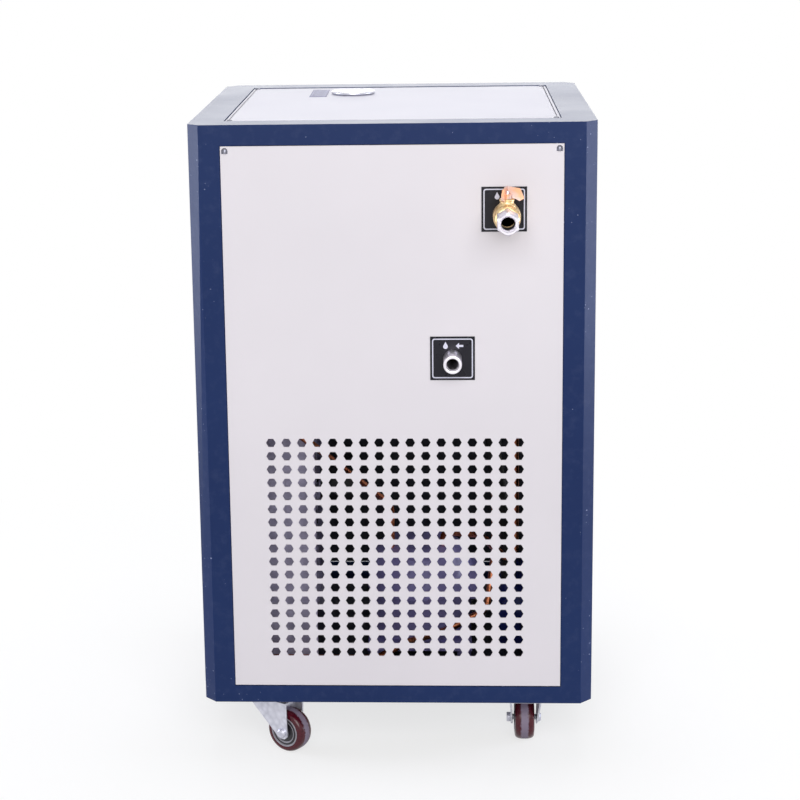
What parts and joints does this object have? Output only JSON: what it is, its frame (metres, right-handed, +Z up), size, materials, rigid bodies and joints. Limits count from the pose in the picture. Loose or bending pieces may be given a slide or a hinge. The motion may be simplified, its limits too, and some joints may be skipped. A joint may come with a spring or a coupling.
{
  "type": "water bath",
  "caption": "Recirculating refrigerated water bath in a tall sheet-metal cabinet on castors, with a ball-valve outlet, an inlet nipple, a vent grille and a lift-off filler cap",
  "frame": {"origin": "on the floor, under the middle of the bounding box of the whole object", "axes": "+Z up; -Y out of the service side with the two water ports; +X to the right of someone who faces the service side; +Y out of the control side"},
  "size_m": [0.5524, 0.639, 0.9265],
  "materials": {
    "navy_powder": "powder-coated navy blue steel, satin, small chips at the folds",
    "panel_paint": "warm light grey powder coat, satin",
    "tray_paint": "dark powder coat",
    "zinc": "bright zinc-plated pressed steel",
    "screw_steel": "nickel-plated screws",
    "stainless": "brushed stainless steel",
    "machined_steel": "turned and plated steel",
    "brass": "forged brass, satin",
    "handle_plate": "yellow-passivated zinc casting",
    "label_black": "black anodised label plate with a pale border line",
    "rating_grey": "etched aluminium plate",
    "black_plastic": "black moulded plastic",
    "switch_green": "translucent green rocker",
    "foam": "closed-cell foam",
    "compressor_paint": "blue-grey enamel",
    "fins": "aluminium fins on copper tubes",
    "copper": "drawn copper tube",
    "rubber_hose": "black rubber hose",
    "pump_blue": "deep blue enamel",
    "core_grey": "grey nylon wheel core",
    "tread_red": "maroon polyurethane tread, dusty where it rolls"
  },
  "bodies": {
    "cabinet": {"post_rear_left": "navy_powder", "post_rear_right": "navy_powder", "post_front_left": "navy_powder", "post_front_right": "navy_powder", "top_frame": "navy_powder", "base_frame": "navy_powder", "base_tray": "tray_paint", "rear_panel": "panel_paint", "left_panel": "panel_paint", "right_panel": "panel_paint", "front_panel": "panel_paint", "top_cover": "panel_paint", "panel_screws": "screw_steel", "castor_plates": "zinc", "castor_bolts": "zinc", "outlet_plate": "label_black", "inlet_plate": "label_black", "bulkhead_nipple": "brass", "valve_body": "brass", "outlet_end": "machined_steel", "inlet_nipple": "machined_steel", "port_nuts": "machined_steel", "fill_neck": "stainless", "rating_label": "rating_grey", "controller": "black_plastic", "switch_frames": "black_plastic", "tank": "stainless", "tank_lid": "stainless", "tank_insulation": "foam", "tank_shelf": "zinc", "evaporator_coil": "copper", "compressor": "compressor_paint", "condenser": "fins", "fan_shroud": "zinc", "fan_motor": "black_plastic", "pump": "pump_blue", "copper_lines": "copper", "water_lines": "rubber_hose", "cable_gland": "black_plastic"},
    "valve_lever": {"valve_stem": "machined_steel", "valve_handle": "handle_plate"},
    "filler_cap": {"fill_cap": "stainless"},
    "fan_rotor": {"fan": "black_plastic"},
    "power_rocker": {"power_switch": "switch_green"},
    "cooling_rocker": {"cooling_switch": "switch_green"},
    "pump_rocker": {"pump_switch": "switch_green"},
    "fork_rear_left": {"castor_fork_rear_left": "zinc"},
    "wheel_rear_left": {"wheel_core_rear_left": "core_grey", "wheel_tread_rear_left": "tread_red"},
    "fork_rear_right": {"castor_fork_rear_right": "zinc"},
    "wheel_rear_right": {"wheel_core_rear_right": "core_grey", "wheel_tread_rear_right": "tread_red"},
    "fork_front_left": {"castor_fork_front_left": "zinc"},
    "wheel_front_left": {"wheel_core_front_left": "core_grey", "wheel_tread_front_left": "tread_red"},
    "pedal_front_left": {"brake_pedal_front_left": "zinc"},
    "fork_front_right": {"castor_fork_front_right": "zinc"},
    "wheel_front_right": {"wheel_core_front_right": "core_grey", "wheel_tread_front_right": "tread_red"},
    "pedal_front_right": {"brake_pedal_front_right": "zinc"}
  },
  "joints": [
    {"name": "valve_turn", "type": "hinge", "parent": "cabinet", "child": "valve_lever", "pos_m": [0.1528, -0.2565, 0.7941], "axis": [0, 0, 1], "range_deg": [-62, 28]},
    {"name": "cap_lift", "type": "slide", "parent": "cabinet", "child": "filler_cap", "axis": [0, 0, 1], "range_m": [0, 0.08]},
    {"name": "fan_spin", "type": "hinge", "parent": "cabinet", "child": "fan_rotor", "pos_m": [-0.1542, 0.0065, 0.352], "axis": [1, 0, 0], "continuous": true},
    {"name": "power_switch_tip", "type": "hinge", "parent": "cabinet", "child": "power_rocker", "pos_m": [0.06, 0.3095, 0.63], "axis": [1, 0, 0], "range_deg": [-14, 0]},
    {"name": "cooling_switch_tip", "type": "hinge", "parent": "cabinet", "child": "cooling_rocker", "pos_m": [0, 0.3095, 0.63], "axis": [1, 0, 0], "range_deg": [-14, 0]},
    {"name": "pump_switch_tip", "type": "hinge", "parent": "cabinet", "child": "pump_rocker", "pos_m": [-0.06, 0.3095, 0.63], "axis": [1, 0, 0], "range_deg": [-14, 0]},
    {"name": "swivel_rear_left", "type": "hinge", "parent": "cabinet", "child": "fork_rear_left", "pos_m": [-0.183, -0.1625, 0.08], "axis": [0, 0, 1], "continuous": true},
    {"name": "roll_rear_left", "type": "hinge", "parent": "fork_rear_left", "child": "wheel_rear_left", "pos_m": [-0.15756, -0.1784, 0.0315], "axis": [0.5299, 0.848, 0], "continuous": true},
    {"name": "swivel_rear_right", "type": "hinge", "parent": "cabinet", "child": "fork_rear_right", "pos_m": [0.183, -0.1625, 0.08], "axis": [0, 0, 1], "continuous": true},
    {"name": "roll_rear_right", "type": "hinge", "parent": "fork_rear_right", "child": "wheel_rear_right", "pos_m": [0.183, -0.1325, 0.0315], "axis": [-1, 0, 0], "continuous": true},
    {"name": "swivel_front_left", "type": "hinge", "parent": "cabinet", "child": "fork_front_left", "pos_m": [-0.183, 0.2535, 0.08], "axis": [0, 0, 1], "continuous": true},
    {"name": "roll_front_left", "type": "hinge", "parent": "fork_front_left", "child": "wheel_front_left", "pos_m": [-0.20758, 0.23629, 0.0315], "axis": [0.5736, -0.8192, 0], "continuous": true},
    {"name": "brake_front_left", "type": "hinge", "parent": "fork_front_left", "child": "pedal_front_left", "pos_m": [-0.21003, 0.23457, 0.0725], "axis": [0.5736, -0.8192, 0], "range_deg": [-16, 0]},
    {"name": "swivel_front_right", "type": "hinge", "parent": "cabinet", "child": "fork_front_right", "pos_m": [0.183, 0.2535, 0.08], "axis": [0, 0, 1], "continuous": true},
    {"name": "roll_front_right", "type": "hinge", "parent": "fork_front_right", "child": "wheel_front_right", "pos_m": [0.20598, 0.23422, 0.0315], "axis": [0.6428, 0.766, 0], "continuous": true},
    {"name": "brake_front_right", "type": "hinge", "parent": "fork_front_right", "child": "pedal_front_right", "pos_m": [0.20828, 0.23229, 0.0725], "axis": [0.6428, 0.766, 0], "range_deg": [-16, 0]}
  ]
}
